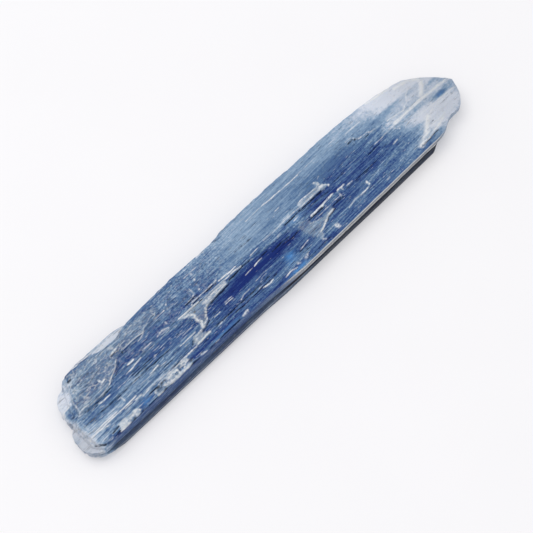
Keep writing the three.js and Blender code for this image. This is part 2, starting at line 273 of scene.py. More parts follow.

# White lines, partly splintered edges and partly painted highlights along step edges.
# Each: half width, how white, and the points that each passes.
SPLINTER_AND_HIGHLIGHT_LINES = (
    (0.13, 1.0, ((-43.3, -3.55), (-33.4, -3.55))), (0.10, 0.9, ((-41.9, -3.2), (-37, -3.25))),
    (0.09, 0.7, ((-41.2, -3.75), (-39.4, -3.95))), (0.09, 0.6, ((-36, -3.9), (-34.6, -3.95))),
    (0.13, 1.0, ((-38.2, -0.2), (-37.3, -0.42), (-36.0, -0.42))),
    (0.08, 0.5, ((-34.3, -0.6), (-32.6, -0.62))), (0.10, 0.6, ((-41.6, 0.62), (-40.2, 0.78), (-39.4, 0.6))),
    (0.09, 0.5, ((-39.2, 0.55), (-36.5, 0.45), (-35, 0.72))),
    (0.10, 0.65, ((-35, 0.72), (-33.6, 1.5), (-32.2, 2.05), (-31.9, 2.5), (-31.1, 2.95))),
    (0.15, 1.0, ((-35.6, 2.5), (-35.5, 1.75), (-34.8, 1.9))),
    (0.09, 0.6, ((-34.8, 1.9), (-34.4, 1.2), (-33.3, 2.4))),
    (0.10, 0.6, ((-33.6, 1.9), (-32.6, 2.1), (-32.5, 2.9))), (0.16, 0.9, ((-30.9, 4.3), (-29.9, 4.35))),
    (0.16, 0.5, ((-30.8, 5.2), (-30.2, 4.8))), (0.10, 0.5, ((-29.2, 3.2), (-28.8, 5.6))),
    (0.10, 0.5, ((-29.1, 3.45), (-26.4, 3.5), (-25.0, 3.3))),
    (0.10, 0.5, ((-26.6, 2.75), (-25.2, 3.0), (-24.4, 3.7))), (0.10, 0.5, ((-26.3, 5.4), (-25.4, 5.5))),
    (0.13, 0.9, ((-30.5, 1.1), (-29.3, 1.15))), (0.11, 0.6, ((-31.6, 0.2), (-30.2, 0.25), (-28.2, 0.5))),
    (0.10, 0.6, ((-27.2, 1.15), (-25.2, 1.1))), (0.18, 0.65, ((-23.8, 1.15), (-22.5, 1.35), (-21.6, 1.0))),
    (0.12, 0.75, ((-29.2, -2.5), (-27.4, -2.4))), (0.08, 0.45, ((-31.6, -2.75), (-30.6, -2.75))),
    (0.08, 0.45, ((-27.2, -2.75), (-25.8, -2.9))), (0.14, 0.55, ((-33.9, -4.0), (-32.6, -4.0))),
    (0.17, 0.45, ((-32.6, -4.3), (-30, -4.15), (-27, -4.3), (-25, -4.1))),
    (0.14, 0.6, ((-27.4, -4.6), (-24, -4.5), (-21, -4.5))), (0.18, 0.5, ((-35.1, -2.1), (-35.1, -2.9))),
    (0.14, 0.8, ((-25.9, -5.0), (-25.8, -6.2))),
    (0.12, 0.95, ((-24.2, -5.0), (-24.7, -5.7), (-24.2, -6.1), (-24.6, -6.5))),
    (0.22, 0.75, ((-43.8, -6.1), (-43.1, -6.4))), (0.14, 0.7, ((-43.3, 2.4), (-42.6, 2.9), (-41.5, 3.1))),
    (0.12, 1.0, ((-36.8, 7.12), (-32.6, 7.05))),
    (0.12, 0.4, ((-38.9, 6.4), (-38.0, 6.5), (-37.4, 5.9), (-37.0, 6.8))),
    (0.10, 0.45, ((-43.15, -0.6), (-43.2, -4.5))), (0.10, 0.4, ((-42.2, -0.7), (-42.3, -2.6))),
    (0.16, 0.45, ((-41.2, 0.9), (-40.8, 2.8), (-39.9, 4.6), (-38.6, 5.3))),
    (0.09, 0.45, ((-39.2, 1.9), (-37.6, 2.0))), (0.11, 0.95, ((-19.5, 0.82), (-18.2, 0.68), (-15.0, 0.66))),
    (0.08, 0.6, ((-17.0, 1.85), (-15.0, 1.95), (-14.6, 2.3))),
    (0.09, 0.75, ((-16.3, 1.0), (-16.0, 1.3), (-14.6, 1.28))),
    (0.09, 0.85, ((-14.3, 1.22), (-10.4, 1.22), (-10.35, 0.7))),
    (0.12, 1.0, ((-10.3, 0.85), (-9.0, 0.8), (-7.6, 0.62), (-6.6, 0.62))),
    (0.12, 0.8, ((-9.4, 0.25), (-7.6, 0.28), (-5.9, 0.05))), (0.10, 0.5, ((-3.5, 0.25), (-1.6, 0.3))),
    (0.10, 0.45, ((-13.7, 5.35), (-10.8, 5.3))),
    (0.11, 0.5, ((-12.3, 5.1), (-12.6, 4.2), (-12.9, 3.5), (-13.1, 2.6), (-13.5, 2.1))),
    (0.09, 0.4, ((-14.5, 3.3), (-14.6, 1.9))), (0.09, 0.35, ((-13.4, 4.3), (-14.0, 3.4))),
    (0.10, 0.45, ((-22.2, 3.6), (-19.9, 3.6))),
    (0.10, 0.5, ((-18.6, 4.9), (-18.4, 4.5), (-19.0, 4.1), (-19.4, 3.2))),
    (0.10, 0.5, ((-21.4, 2.1), (-21.2, 1.5))), (0.10, 0.7, ((-22.6, -2.6), (-19.3, -2.6))),
    (0.07, 0.5, ((-21, -1.65), (-18.9, -1.65))), (0.14, 1.0, ((-20.5, -4.45), (-17.5, -4.4))),
    (0.12, 0.9, ((-16.1, -4.62), (-15.1, -4.55))),
    (0.22, 0.9, ((-18.7, 0.3), (-17.9, 0.05), (-17.4, -0.5), (-17.6, -1.5), (-17.35, -2.2), (-17.9, -3.0))),
    (0.34, 0.58, ((-14.7, -0.2), (-9.9, -0.08))),
    (0.17, 0.7, ((-18.4, -3.2), (-19.6, -3.3), (-20.2, -3.9))), (0.10, 0.6, ((-14.9, 0.4), (-9.8, 0.38))),
    (0.11, 0.75, ((-9.7, -0.45), (-12, -0.52), (-14, -0.7), (-15.1, -0.9))),
    (0.15, 0.7, ((-15.1, -0.9), (-16.2, -2.1), (-16.4, -2.5), (-17.8, -3.1))),
    (0.09, 0.7, ((-15.3, -3.15), (-14.2, -3.1))), (0.07, 0.7, ((-12.6, -2.45), (-10.8, -2.5))),
    (0.07, 0.6, ((-12.6, -2.82), (-10.9, -2.82))), (0.09, 0.7, ((-4.4, -1.45), (-2.6, -1.35))),
    (0.08, 0.5, ((-6.6, -1.55), (-5.0, -1.5))), (0.12, 0.45, ((-10.2, -4.1), (-9.4, -3.75), (-8, -3.8))),
    (0.10, 0.4, ((-6.2, -3.5), (-4.2, -3.4), (-2.4, -3.6))),
    (0.10, 0.4, ((-5.8, -4.2), (-5.2, -3.8), (-4, -3.9))), (0.10, 0.6, ((-6.9, -4.8), (-5.8, -4.75))),
    (0.11, 0.8, ((-6.1, -5.2), (-4.9, -5.4), (-4.2, -5.25))), (0.28, 0.6, ((-11.9, -6.2), (-11.0, -6.15))),
    (0.22, 0.5, ((-21.3, -6.0), (-20.4, -6.2))), (0.12, 0.75, ((-2.2, -6.5), (-1, -6.35), (0, -6.7))),
    (0.09, 0.6, ((0.6, 5.2), (5, 5.2))), (0.10, 0.65, ((5.2, 5.15), (9, 5.0), (12.8, 4.9))),
    (0.08, 0.3, ((12.8, 4.9), (16.6, 5.0))), (0.10, 0.5, ((5.2, 2.95), (6.3, 2.95))),
    (0.13, 0.45, ((-0.2, 0.55), (4, 0.55), (8.4, 0.5))),
    (0.10, 0.8, ((8.6, 0.4), (8.6, 0.9), (9.2, 1.15), (13.2, 1.0))),
    (0.10, 0.6, ((8.6, 0.35), (13.2, 0.3))), (0.20, 0.85, ((13.3, 0.6), (14.2, 0.5))),
    (0.12, 0.9, ((13.4, 1.85), (13.8, 1.3), (14, 0.8), (14.7, 0.1), (14.8, -0.2))),
    (0.09, 0.35, ((14.4, 1.9), (15.1, 2.2))), (0.18, 0.4, ((1.8, -0.7), (2.6, -0.6))),
    (0.14, 0.4, ((6.0, -0.6), (7.2, -0.5))), (0.15, 1.0, ((8.6, -2.0), (11, -1.98), (14.0, -1.78))),
    (0.09, 0.7, ((11.3, -2.2), (11.6, -2.5))), (0.12, 0.8, ((15.2, -1.95), (16.6, -1.85))),
    (0.10, 0.5, ((15.9, -2.0), (15.9, -2.5))), (0.09, 0.5, ((8.4, -2.9), (14.8, -2.85))),
    (0.08, 0.4, ((14.9, -2.1), (14.9, -3.1))),
    (0.16, 0.7, ((12.2, -3.75), (10.4, -3.9), (9.8, -4.3), (8.6, -4.75), (7.6, -5.1))),
    (0.10, 0.5, ((7.5, -4.9), (7.5, -5.7))), (0.12, 0.45, ((5.5, -2.3), (5.5, -3.5))),
    (0.10, 0.4, ((7.5, -2.1), (7.5, -2.9), (8.6, -3.4), (9.6, -3.5))),
    (0.09, 0.65, ((3.1, -4.85), (5.2, -4.6))), (0.28, 0.5, ((2.4, -6.5), (3, -6.3))),
    (0.38, 0.75, ((10.3, -6.1), (10.35, -6.5))), (0.2, 0.45, ((6.8, -6.1), (7.2, -6.5))),
    (0.2, 0.5, ((0.7, -6.1), (1.0, -6.5))),
    (0.12, 0.6, ((14.2, -5.45), (16, -5.1), (18.3, -5.25), (19.2, -5.2))),
    (0.16, 1.0, ((19.7, -4.3), (19.65, -4.85))), (0.09, 0.4, ((22.5, 2.9), (22.4, 1.6))),
    (0.12, 0.5, ((17, -2.4), (18.2, -2.5))), (0.16, 0.6, ((22.2, -6.6), (23.0, -6.5))),
    (0.10, 0.55, ((22.8, 3.25), (24.2, 3.2), (24.6, 2.55), (25.1, 2.2), (26.9, 1.95), (27.3, 1.6),
     (28.2, 1.5))), (0.12, 0.5, ((24, 4.3), (27.6, 4.25))), (0.12, 0.35, ((26, -0.55), (32, -0.4))),
    (0.28, 0.9, ((31.4, -0.3), (34, -0.15), (38, -0.25), (42, -0.45), (45, -0.75))),
    (0.13, 0.5, ((30.8, 0.9), (34.4, 0.5), (36, 1.1), (37, 2.2), (38.2, 2.7))),
    (0.36, 1.0, ((38.6, 0.3), (39.5, 0.9), (40.3, 1.5), (40.9, 2.1), (40.9, 2.9), (40.2, 3.5))),
    (0.30, 0.8, ((36.6, 4.4), (38.3, 4.1), (39.6, 3.9), (40.5, 3.4))),
    (0.20, 0.8, ((31, 5.95), (33.5, 5.5), (36, 5.2))),
    (0.5, 0.8, ((31.2, -6.3), (33.2, -5.7), (34.4, -4.9), (35.3, -4.1), (36.3, -3.4))),
    (0.2, 0.6, ((33, -6.3), (35.5, -5.9), (38, -5.3))), (0.2, 0.5, ((35, -5.1), (37, -5.0), (39, -4.8))),
    (0.24, 0.45, ((36.3, -3.4), (38, -3.1), (41, -2.8))), (0.2, 0.5, ((36, -2.3), (39, -2.5), (44, -2.6))),
    (0.12, 0.45, ((30.5, -0.7), (31.2, -1.6))), (0.14, 0.45, ((28.3, -2.7), (29.3, -2.6))),
)  # fmt: skip

# Dark lines where a crack or the foot of a step lies in shade: half width, how dark, and the points that
# each passes.
DARK_LINES = (
    (0.10, 0.75, ((-42, -1.5), (-38, -1.5), (-34, -1.65), (-29, -1.65), (-24, -1.75))),
    (0.08, 0.6, ((-41.6, -0.35), (-38, -0.2))), (0.10, 0.8, ((-43.4, -4.8), (-42.1, -5.9))),
    (0.12, 1.0, ((-40.2, -5.35), (-38.7, -5.15))), (0.14, 1.0, ((-39.7, -5.85), (-39.1, -5.8))),
    (0.20, 0.8, ((-38.95, 5.7), (-38.4, 5.75))), (0.09, 0.7, ((-39, 3.75), (-37, 3.75))),
    (0.12, 0.4, ((-34.6, 0.95), (-33.2, 1.2), (-32, 1.7), (-31.4, 2.2), (-30.6, 2.6))),
    (0.14, 0.7, ((-31.3, 4.0), (-29.9, 4.0), (-29.6, 3.2))),
    (0.10, 0.7, ((-42, 0.3), (-38, 0.15), (-35, 0.35))), (0.10, 0.6, ((-30.9, -0.3), (-27.4, -0.25))),
    (0.10, 0.7, ((-31.2, -0.65), (-27, -0.75))), (0.10, 0.8, ((-31, -1.1), (-28.5, -1.1))),
    (0.10, 0.6, ((-26.8, -3.3), (-24.6, -3.35))), (0.10, 0.7, ((-26.2, -4.3), (-24.5, -4.35))),
    (0.12, 0.7, ((-42, -6.2), (-31, -6.15), (-22, -6.2))), (0.12, 0.8, ((-31.6, -4.8), (-29.8, -4.9))),
    (0.10, 1.0, ((-17, 1.62), (-14.3, 1.65))), (0.10, 0.8, ((-15.9, 1.05), (-14.5, 1.05))),
    (0.12, 0.9, ((-13, 0.95), (-10.7, 0.92))), (0.11, 0.9, ((-17.7, 0.55), (-14.5, 0.5))),
    (0.20, 1.0, ((-17.3, 0.5), (-16.7, 0.1), (-16.85, -0.25))),
    (0.13, 0.9, ((-15.3, -1.15), (-16.0, -1.8), (-16.45, -2.3))),
    (0.12, 0.8, ((-14.8, -0.95), (-12, -0.78), (-9.7, -0.68), (-9, -0.25), (-6, -0.12), (-4, -0.15))),
    (0.12, 0.8, ((-21, -3.8), (-20.6, -3.4))), (0.12, 0.7, ((-18.5, -3.45), (-17.5, -3.4), (-16.2, -2.85))),
    (0.10, 1.0, ((-19.8, -6.28), (-12.9, -6.35))), (0.09, 0.8, ((-16.5, -4.35), (-10, -4.4), (-4, -4.5))),
    (0.09, 0.7, ((-12.5, -5.0), (-3, -5.05))), (0.10, 0.8, ((-3, -1.1), (-1, -1.05))),
    (0.10, 0.6, ((-5, 2.5), (-1, 2.45))), (0.10, 0.9, ((4.5, 0.05), (8.5, 0.1), (13.2, -0.05))),
    (0.12, 0.6, ((9, -0.6), (14, -0.9))), (0.10, 0.9, ((-0.6, -1.75), (1.5, -1.75), (3.6, -1.95))),
    (0.10, 0.9, ((1.2, -2.15), (3.6, -2.45), (5.4, -2.2))), (0.12, 1.0, ((7.7, -2.3), (11.2, -2.35))),
    (0.14, 0.9, ((12.4, -3.95), (10.4, -4.2), (9.9, -4.55))), (0.12, 0.7, ((12.3, -3.4), (15, -3.3))),
    (0.09, 0.6, ((3, -5.0), (5, -4.95))), (0.09, 0.6, ((2.3, -4.6), (2.9, -5.4), (4.5, -5.6))),
    (0.10, 0.7, ((2.3, -6.9), (8, -6.85))), (0.09, 0.6, ((16.5, -2.75), (24, -2.8))),
    (0.10, 0.6, ((16, -0.35), (18.4, -0.35))), (0.11, 0.9, ((23, 2.85), (24.1, 2.8), (24.7, 2.2))),
    (0.09, 0.7, ((25.4, 1.8), (26.8, 1.55))), (0.10, 0.6, ((23.6, -1.05), (26.5, -1.05))),
    (0.12, 0.7, ((31.2, -6.5), (33, -6.45), (35.5, -6.3))), (0.12, 0.38, ((34.6, -4.6), (36.4, -4.6))),
    (0.10, 0.3, ((39.6, -3.25), (43.5, -3.2))),
)  # fmt: skip


def linear(colour):
    """An sRGB hex colour such as "#4f73a3" as linear red, green and blue."""
    shares = [int(colour[i : i + 2], 16) / 255 for i in (1, 3, 5)]
    return tuple(c / 12.92 if c <= 0.04045 else ((c + 0.055) / 1.055) ** 2.4 for c in shares)


# ------------------------------------------------------------------ settings


class KyaniteSizes(bpy.types.PropertyGroup):
    """Sizes of the cluster's surface that a user would change."""

    along: IntProperty(
        name="Cells along", description="Mesh cells along the blades", default=316, min=40, max=320
    )
    across: IntProperty(
        name="Cells across", description="Mesh cells across the blades", default=130, min=24, max=140
    )
    through: IntProperty(
        name="Cells through", description="Mesh cells down each side", default=18, min=6, max=20
    )
    facet_height: FloatProperty(
        name="Facet height",
        description="How far one narrow blade stands above the next on the broad faces",
        default=0.16 * MM,
        precision=5,
        subtype="DISTANCE",
        unit="LENGTH",
    )
    fray: FloatProperty(
        name="Fray",
        description="How far the splinters of a broken plate reach, against the drawn reach",
        default=1.0,
        subtype="FACTOR",
    )


def colour_setting(name, description, colour):
    """A colour that a user can change, given by its sRGB hex."""
    return FloatVectorProperty(name=name, description=description, subtype="COLOR", default=linear(colour))


class KyaniteColours(bpy.types.PropertyGroup):
    """Colours of the crystal, from its palest zone to its deepest, of its fractures and painted highlights,
    and of painted shade.
    """

    pale: colour_setting("Pale zone", "Nearly colourless crystal", "#cdd3df")
    silver: colour_setting("Silver zone", "Grey-blue crystal", "#89a1bb")
    steel: colour_setting("Steel zone", "Steel-blue crystal", "#547297")
    royal: colour_setting("Royal zone", "Deep blue crystal", "#324d81")
    deep: colour_setting("Deep zone", "The deepest blue streak", "#11286b")
    sky: colour_setting("Sky zone", "Bright blue lit from within", "#4f8fd0")
    # The fracture colour also paints the highlights along step edges.
    frost_and_highlight: colour_setting("Fracture", "Splintered crystal full of air", "#dde0e4")
    stain: colour_setting("Stain", "Thin brown-grey stain in cracks", "#929691")
    shade: colour_setting("Shade", "Cracks and crystal seen edge-on", "#10172b")


class KyaniteStudio(bpy.types.PropertyGroup):
    """The camera, lights and floor."""

    azimuth: FloatProperty(
        name="Azimuth",
        description="Camera's turn round the cluster",
        default=math.radians(-47.2),
        subtype="ANGLE",
    )
    elevation: FloatProperty(
        name="Elevation",
        description="Camera's height above the horizon",
        default=math.radians(62),
        subtype="ANGLE",
    )
    lens: FloatProperty(name="Lens", description="Focal length", default=120, unit="CAMERA")
    field: FloatProperty(
        name="Field",
        description="Width seen at the cluster",
        default=86.7 * MM,
        subtype="DISTANCE",
        unit="LENGTH",
    )
    floor: colour_setting("Floor", "Colour of the floor", "#f1f0f2")


# ------------------------------------------------------------------ shapes, as whole arrays


def smooth(share):
    """0 below 0, 1 above 1, and 3t^2 - 2t^3 between."""
    t = np.clip(share, 0.0, 1.0)
    return t * t * (3.0 - 2.0 * t)


def along_curve(position, table):
    """Straight lines between the table's points."""
    places, values = np.transpose(np.array(table, float))
    return np.interp(position, places, values)


def grain(x, y, length, width, seed, faceted=False):
    """Noise from 0 to 1 drawn out along x: random values on a lattice, blended between.

    The lattice's cells are length by width. The blend is 3t^2 - 2t^3, except that across the grain it is
    straight lines where faceted, which leaves creases.
    """
    side = 256
    values = np.random.default_rng(seed).random((side, side))
    u, v = x / length, y / width
    column, row = np.floor(u).astype(int), np.floor(v).astype(int)
    fu, fv = smooth(u - column), v - row
    if not faceted:
        fv = smooth(fv)
    c0, c1, r0, r1 = column % side, (column + 1) % side, row % side, (row + 1) % side
    near = values[c0, r0] * (1 - fu) + values[c1, r0] * fu
    far = values[c0, r1] * (1 - fu) + values[c1, r1] * fu
    return near * (1 - fv) + far * fv


def line_distance(x, y, line):
    """Distance from each point to a line through given points: the least of those to its stretches."""
    distance = np.full(x.shape, 1e9)
    for (ax, ay), (bx, by) in zip(line, line[1:]):
        ex, ey = bx - ax, by - ay
        t = np.clip(((x - ax) * ex + (y - ay) * ey) / (ex * ex + ey * ey), 0, 1)
        distance = np.minimum(distance, np.hypot(x - ax - t * ex, y - ay - t * ey))
    return distance


def depth_inside(x, y, outline):
    """Distance from each point to a closed outline, positive inside it and negative outside.

    A point is inside if a line drawn from it crosses the outline an odd number of times.
    """
    ring = outline + outline[:1]
    inside = np.zeros(x.shape, bool)
    for (ax, ay), (bx, by) in zip(ring, ring[1:]):
        if ay != by:
            inside ^= ((ay > y) != (by > y)) & (x < ax + (bx - ax) * (y - ay) / (by - ay))
    distance = line_distance(x, y, ring)
    return np.where(inside, distance, -distance)


def frayed_depth(x, y, outline, reach, seed):
    """depth_inside after each strand across y has moved along the grain by its own amount, up to reach."""
    coarse = grain(x, y, 4.0, 0.6, seed) - 0.5
    fine = grain(x, y, 1.6, 0.19, seed + 1) - 0.5
    wander = 0.3 * (grain(x, y, 2.2, 1.1, seed + 2) - 0.5)
    return depth_inside(x + reach * (1.3 * coarse + 0.8 * fine), y + wander, outline)


def spindles(x, y, marks):
    """The sum of soft spindles, each strength * exp(-(dx/half length)^2 - (dy/half width)^2)."""
    total = np.zeros(x.shape)
    for at_x, at_y, half_length, half_width, strength in marks:
        total += strength * np.exp(-(((x - at_x) / half_length) ** 2) - ((y - at_y) / half_width) ** 2)
    return total


def ragged_lines(x, y, lines, seed):
    """The greatest over the lines of strength * exp(-(distance / half width)^2), wavering and broken up."""
    waver = 0.14 * (grain(x, y, 1.1, 0.5, seed) - 0.5)
    gaps = 0.55 + 0.9 * grain(x, y, 0.8, 0.25, seed + 1)
    total = np.zeros(x.shape)
    for half_width, strength, line in lines:
        xs, ys = np.transpose(line)
        near = (x > xs.min() - 1) & (x < xs.max() + 1) & (y > ys.min() - 1) & (y < ys.max() + 1)
        distance = line_distance(x[near], y[near] + waver[near], line)
        total[near] = np.maximum(total[near], strength * np.exp(-((distance / half_width) ** 2)))
    return total * gaps


def facets(x, y, seed):
    """-1 to 1: the creased tops of parallel blades, as faceted noise in three widths, 2.3 to 0.4 mm."""
    broad = grain(x, y, 46, 2.3, seed, faceted=True) - 0.5
    narrow = grain(x, y, 22, 0.9, seed + 1, faceted=True) - 0.5
    thin = grain(x, y, 9, 0.37, seed + 2, faceted=True) - 0.5
    return broad + 0.55 * narrow + 0.3 * thin


def cleavage_steps(x, y, seed, levels=5):
    """0 to 1 in flat treads: noise rounded down to a few levels, with a frayed riser between."""
    shifted = x + 1.5 * (grain(x, y, 3.0, 0.3, seed + 7) - 0.5)
    height = 0.65 * grain(shifted, y, 17, 1.7, seed) + 0.35 * grain(shifted, y, 6, 0.55, seed + 1)
    tread = np.floor(height * levels)
    return (tread + smooth((height * levels - tread - 0.85) / 0.15)) / levels


def laths(x, y, length, width, seed):
    """0 to 1, one random value for each lath: rows along the grain, each cut aslant at its own places."""
    side = 256
    values = np.random.default_rng(seed).random((side, side))
    level = y / width + 1.3 * grain(x, y, 2.5 * length, 2.2 * width, seed + 1)
    row = np.floor(level).astype(int)
    slant = (level - row) * (values[row % side, 1] - 0.5) * 0.8
    start = 40 * values[row % side, 0] + 0.4 * grain(x, y, 0.3 * length, 0.8, seed + 2)
    column = np.floor(x / length + slant + start).astype(int) % side
    return values[row % side, column]


def lath_heights(x, y):
    """-0.5 to 0.5: laths in three sizes, from 8 mm by 0.75 mm to 1.6 mm by 0.22 mm, added together."""
    seed = SEEDS["laths"]
    broad = laths(x, y, 8.0, 0.75, seed)
    narrow = laths(x, y, 3.6, 0.4, seed + 10)
    short = laths(x, y, 1.6, 0.22, seed + 20)
    return 0.45 * broad + 0.33 * narrow + 0.22 * short - 0.5


def crumbled(x, y):
    """1 inside the crumbled patches and 0 outside, with a ragged rim."""
    depths = [frayed_depth(x, y, outline, 0.5, SEEDS["crumbled"]) for outline in CRUMBLED]
    return np.maximum(*(smooth(depth / 0.2 + 0.5) for depth in depths))


def on_high_block(x, y, rim):
    """1 on the high block and 0 off it, rising over a rim of that width inside its frayed outline."""
    return smooth(frayed_depth(x, y, HIGH_BLOCK, 0.45, SEEDS["high_block"]) / rim)


def plate_level(x, y, fray):
    """The heart's level, plus each plate's height inside its frayed outline, with risers 0.12 mm wide."""
    z = np.full(x.shape, HEART_TOP)
    for number, (height, reach, outline) in enumerate(PLATES):
        z = z + height * smooth(frayed_depth(x, y, outline, reach * fray, 10 * number) / 0.12 + 0.5)
    return z


def top_height(x, y, sizes):
    """The upper face: the plates' level, plus fine relief.

    Towards the tip the face falls away along a long shallow curve, and it falls a little to each long
    edge. Relief is facets, laths, cleavage steps, crumbs and fragments, calmer at both ends. Splintered
    lines stand proud and cracks are grooves.
    """
    z = plate_level(x, y, sizes.fray)
    z = z - 0.22 * smooth((x - 26) / 12) - 0.45 * smooth((x - 36) / 9)
    z = z - 0.16 * smooth((y - 3.5) / 3.5) - 0.14 * smooth((-3.9 - y) / 0.5) * smooth((x + 41) / 3)
    calm = 1 - 0.6 * smooth((x - 30) / 8) - 0.5 * smooth((-42 - x) / 1.5)
    steps = cleavage_steps(x, y, SEEDS["steps"]) - 0.5
    z = z + sizes.facet_height / MM * facets(x, y, SEEDS["facets"])
    z = z + calm * (0.16 * steps + 0.22 * lath_heights(x, y))

    seed = SEEDS["roughness"]
    rough = grain(x, y, 0.7, 0.4, seed) + grain(x, y, 0.45, 0.22, seed + 1) - 1.0
    chips = laths(x, y, 0.9, 0.35, SEEDS["chips"])
    fragments = laths(x, y, 2.1, 0.75, SEEDS["fragments"]) + 0.5 * chips - 0.75
    white = ragged_lines(x, y, SPLINTER_AND_HIGHLIGHT_LINES, SEEDS["white_lines"])
    dark = ragged_lines(x, y, DARK_LINES, SEEDS["dark_lines"])
    z = z + rough * (0.01 + 0.04 * white + 0.20 * crumbled(x, y))
    z = z + fragments * 0.14 * on_high_block(x, y, 0.2)
    return np.minimum(z + 0.05 * white - 0.12 * dark, HIGHEST)


def bottom_height(x, y):
    """The lower face: flat on its rest, with shallow facets and long gaps, stepping up past the foot."""
    steps = cleavage_steps(x, y, SEEDS["low_steps"]) - 0.5
    relief = 0.10 + 0.09 * facets(x, y, SEEDS["low_facets"]) + 0.22 * steps
    z = np.maximum(relief, 0) * smooth((y + 7.6) / 2)
    z = z + np.minimum(spindles(x, y, LOWER_GAPS), GAP_DEPTH)
    seed = SEEDS["foot_end"]
    foot_end = 35.0 + 2.0 * (grain(x, y, 6, 1.5, seed) - 0.5) + 1.2 * (grain(x, y, 3, 0.4, seed + 1) - 0.5)
    foot_end = foot_end - 0.25 * np.abs(y + 4.5)
    z = z + 1.35 * smooth((x - foot_end) / 0.5)
    heart_end = 39.6 + 1.8 * (grain(x, y, 6, 1.1, SEEDS["heart_end"]) - 0.5) - 0.3 * np.abs(y + 1.5)
    return z + 0.65 * smooth((x - heart_end) / 0.5) + 0.15 * smooth((x - 40) / 5)


def steep_side(x, z, top, z_top):
    """How far across the steep side lies at height z, given its upper edge.

    Towards the broken end a bevel runs down to a groove at 1.6 mm, with the foot standing out below it.
    Towards the tip the crown overhangs: its edge goes straight down for 1.5 mm, then steps in to the foot.
    """
    middle, low = along_curve(x, STEEP_MIDDLE), along_curve(x, STEEP_LOW)
    middle = np.where(x > 34, np.maximum(middle, top + 0.2), middle)
    towards_tip = smooth((x + 9) / 9)
    waist = middle + 0.40 * (1 - towards_tip)
    rise = np.clip((z - 1.7) / np.maximum(z_top - 1.7, 0.2), 0, 1)
    overhang = smooth((z - z_top + 1.55) / 0.16)
    upper = waist + (top - waist) * (rise + (overhang - rise) * towards_tip)
    groove = 0.35 * np.exp(-(((z - 1.6) / 0.16) ** 2)) * (1 - 0.5 * towards_tip)
    foot = middle + (low - middle) * smooth((1.2 - z) / 0.9)
    return foot + (upper - foot) * smooth((z - 1.35) / 0.2) + groove


def ragged_side(x, z, top, z_top):
    """How far across the ragged side lies at height z: it steps in at each level, down to its foot."""
    low = along_curve(x, RAGGED_LOW)
    share = 0.55 * smooth((z - FOOT_TOP) / 0.25) + 0.45 * smooth((z - z_top + 0.75) / 0.2)
    return low + (top - low) * share


def ledges(x, z, seed):
    """-1 to 1: narrow ledges along a side, as faceted noise in three heights from 0.8 to 0.2 mm."""
    broad = grain(x, z, 30, 0.8, seed, faceted=True) - 0.5
    narrow = grain(x, z, 14, 0.4, seed + 1, faceted=True) - 0.5
    return broad + 0.6 * narrow + 0.3 * (grain(x, z, 6, 0.2, seed + 2) - 0.5)


def broken_end(across, t):
    """How far the broken end is set back at each place across and share of the height.

    It is the drawn outline, plus splinters: the part above 0 of noise and short laths, fading out at both
    faces. The lower half is set back under the upper.
    """
    seed = SEEDS["splinters"]
    end = along_curve(across, BROKEN_END) + HALF_LENGTH
    fringe = 0.5 * (grain(across, 6 * t, 0.9, 1.4, seed) - 0.3)
    splinter = fringe + 0.55 * laths(across, 4 * t, 0.7, 0.9, seed + 1)
    end = end + np.maximum(splinter, 0) * smooth(t / 0.15) * smooth((1 - t) / 0.12)
    return end + (0.35 + 0.7 * smooth((-2.5 - across) / 2)) * smooth((0.45 - t) / 0.15)


def crystal_points(u, s, t, sizes):
    """Wraps the skin of a unit block to the crystal: u along the blades, s across them and t up.

    Stations along x crowd towards both ends and bend to the broken end over its first 10 mm. Each is a
    straight run across between the two long edges, and a straight run up between the two faces.
    """
    crowding = 0.34 * np.sin(2 * math.pi * u) / (2 * math.pi)
    station = 2 * HALF_LENGTH * (u - crowding) - HALF_LENGTH
    end = broken_end(END_START + END_WIDTH * s, t)
    x = station + end * np.clip(1 - (station + HALF_LENGTH) / 10, 0, 1)

    seed = SEEDS["wobble"]
    wobble = 0.10 * (grain(x, x * 0, 3.0, 1, seed) - 0.5) + 0.12 * (grain(x, x * 0, 0.9, 1, seed + 1) - 0.5)
    taper = smooth((HALF_LENGTH - x) / 3)
    near_top = along_curve(x, STEEP_TOP) + 0.3 * wobble * taper
    far_top = along_curve(x, RAGGED_TOP) - wobble * taper
    near_low = along_curve(x, STEEP_LOW)
    far_low = along_curve(x, RAGGED_LOW) + wobble * taper

    z_top = top_height(x, near_top + s * (far_top - near_top), sizes)
    z_low = bottom_height(x, near_low + s * (far_low - near_low))
    z_top = np.maximum(z_top, z_low + 0.25)
    z = z_low + t * (z_top - z_low)
    inner = smooth(t / 0.08) * smooth((1 - t) / 0.08) * taper
    near = steep_side(x, z, near_top, z_top) + 0.16 * inner * ledges(x, z, SEEDS["near_ledges"])
    far = ragged_side(x, z, far_top, z_top) + 0.40 * inner * ledges(x, z, SEEDS["far_ledges"])
    near = np.maximum(np.where(t >= 1, near_top, np.where(t <= 0, near_low, near)), NEAREST)
    far = np.minimum(np.where(t >= 1, far_top, np.where(t <= 0, far_low, far)), FARTHEST)
    return x, near + s * (far - near), z


def block_skin(along, across, through):
    """The surface points of a block of cells, as shares of its sizes, and its outward quads."""
    counts = (np.arange(along + 1), np.arange(across + 1), np.arange(through + 1))
    i, j, k = np.meshgrid(*counts, indexing="ij")
    skin = (i == 0) | (i == along) | (j == 0) | (j == across) | (k == 0) | (k == through)
    number = np.cumsum(skin).reshape(skin.shape) - 1

    def quads(sheet):
        corners = (sheet[:-1, :-1], sheet[1:, :-1], sheet[1:, 1:], sheet[:-1, 1:])
        return np.stack(corners, -1).reshape(-1, 4)

    sides = (
        quads(number[:, :, through]),
        quads(number[:, :, 0])[:, ::-1],
        quads(number[:, 0, :]),
        quads(number[:, across, :])[:, ::-1],
        quads(number[along, :, :]),
        quads(number[0, :, :])[:, ::-1],
    )
    return i[skin] / along, j[skin] / across, k[skin] / through, np.concatenate(sides)


